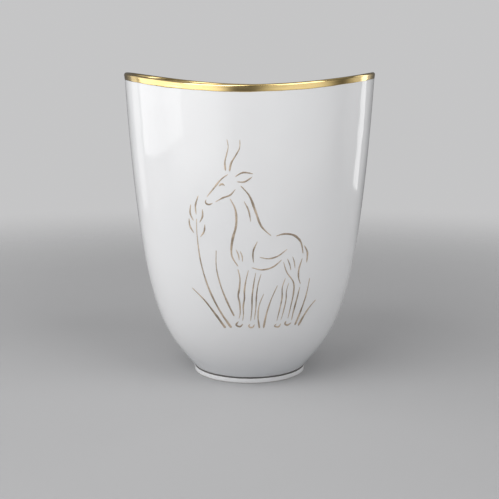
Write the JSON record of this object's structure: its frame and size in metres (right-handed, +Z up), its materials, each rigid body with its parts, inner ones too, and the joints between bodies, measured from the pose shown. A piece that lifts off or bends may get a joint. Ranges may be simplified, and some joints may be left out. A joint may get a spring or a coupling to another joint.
{
  "type": "porcelain vase",
  "caption": "Round open porcelain vase that widens from a small foot ring to a wavy gold-edged rim, with a gold line drawing of a gazelle among grasses on the front.",
  "frame": {"origin": "centre of the foot ring's flat underside, on the surface that the vase stands on", "axes": "+Z up the vase's axis, -Y the front with the drawing, +X to the right seen from the front; the rim is highest at +X and -X"},
  "size_m": [0.1802, 0.1794, 0.22],
  "materials": {
    "porcelain_glaze": "gloss",
    "porcelain_foot": "satin",
    "rim_gold": "gloss",
    "line_gold": "satin"
  },
  "bodies": {
    "root": {"vase_body": "porcelain_glaze", "foot_ring": "porcelain_foot", "rim_edging": "rim_gold", "line_brow": "line_gold", "line_muzzle": "line_gold", "line_jaw": "line_gold", "line_eye": "line_gold", "line_near_horn": "line_gold", "line_far_horn": "line_gold", "line_ear_top": "line_gold", "line_ear_bottom": "line_gold", "line_nape": "line_gold", "line_neck_fold": "line_gold", "line_throat": "line_gold", "line_back": "line_gold", "line_tail": "line_gold", "line_flank_stripe": "line_gold", "line_belly": "line_gold", "line_shoulder": "line_gold", "line_thigh": "line_gold", "line_hind_shank": "line_gold", "line_hind_leg_front": "line_gold", "line_hind_hoof": "line_gold", "line_foreleg_front": "line_gold", "line_foreleg_back": "line_gold", "line_fore_hoof": "line_gold", "line_far_foreleg": "line_gold", "line_far_hind_leg": "line_gold", "line_tall_grass": "line_gold", "line_low_grass": "line_gold", "line_inner_grass": "line_gold", "line_seed_top": "line_gold", "line_seed_upper_left": "line_gold", "line_seed_upper_right": "line_gold", "line_seed_lower_left": "line_gold", "line_seed_lower_right": "line_gold", "line_right_grass": "line_gold", "line_right_low_grass": "line_gold", "line_middle_grass": "line_gold", "line_short_grass": "line_gold", "line_far_foreleg_back": "line_gold", "line_far_fore_hoof": "line_gold", "line_far_hind_leg_back": "line_gold", "line_far_hind_hoof": "line_gold", "line_chest_hair_left": "line_gold", "line_chest_hair_right": "line_gold", "line_thigh_hair_left": "line_gold", "line_thigh_hair_right": "line_gold"}
  },
  "joints": []
}
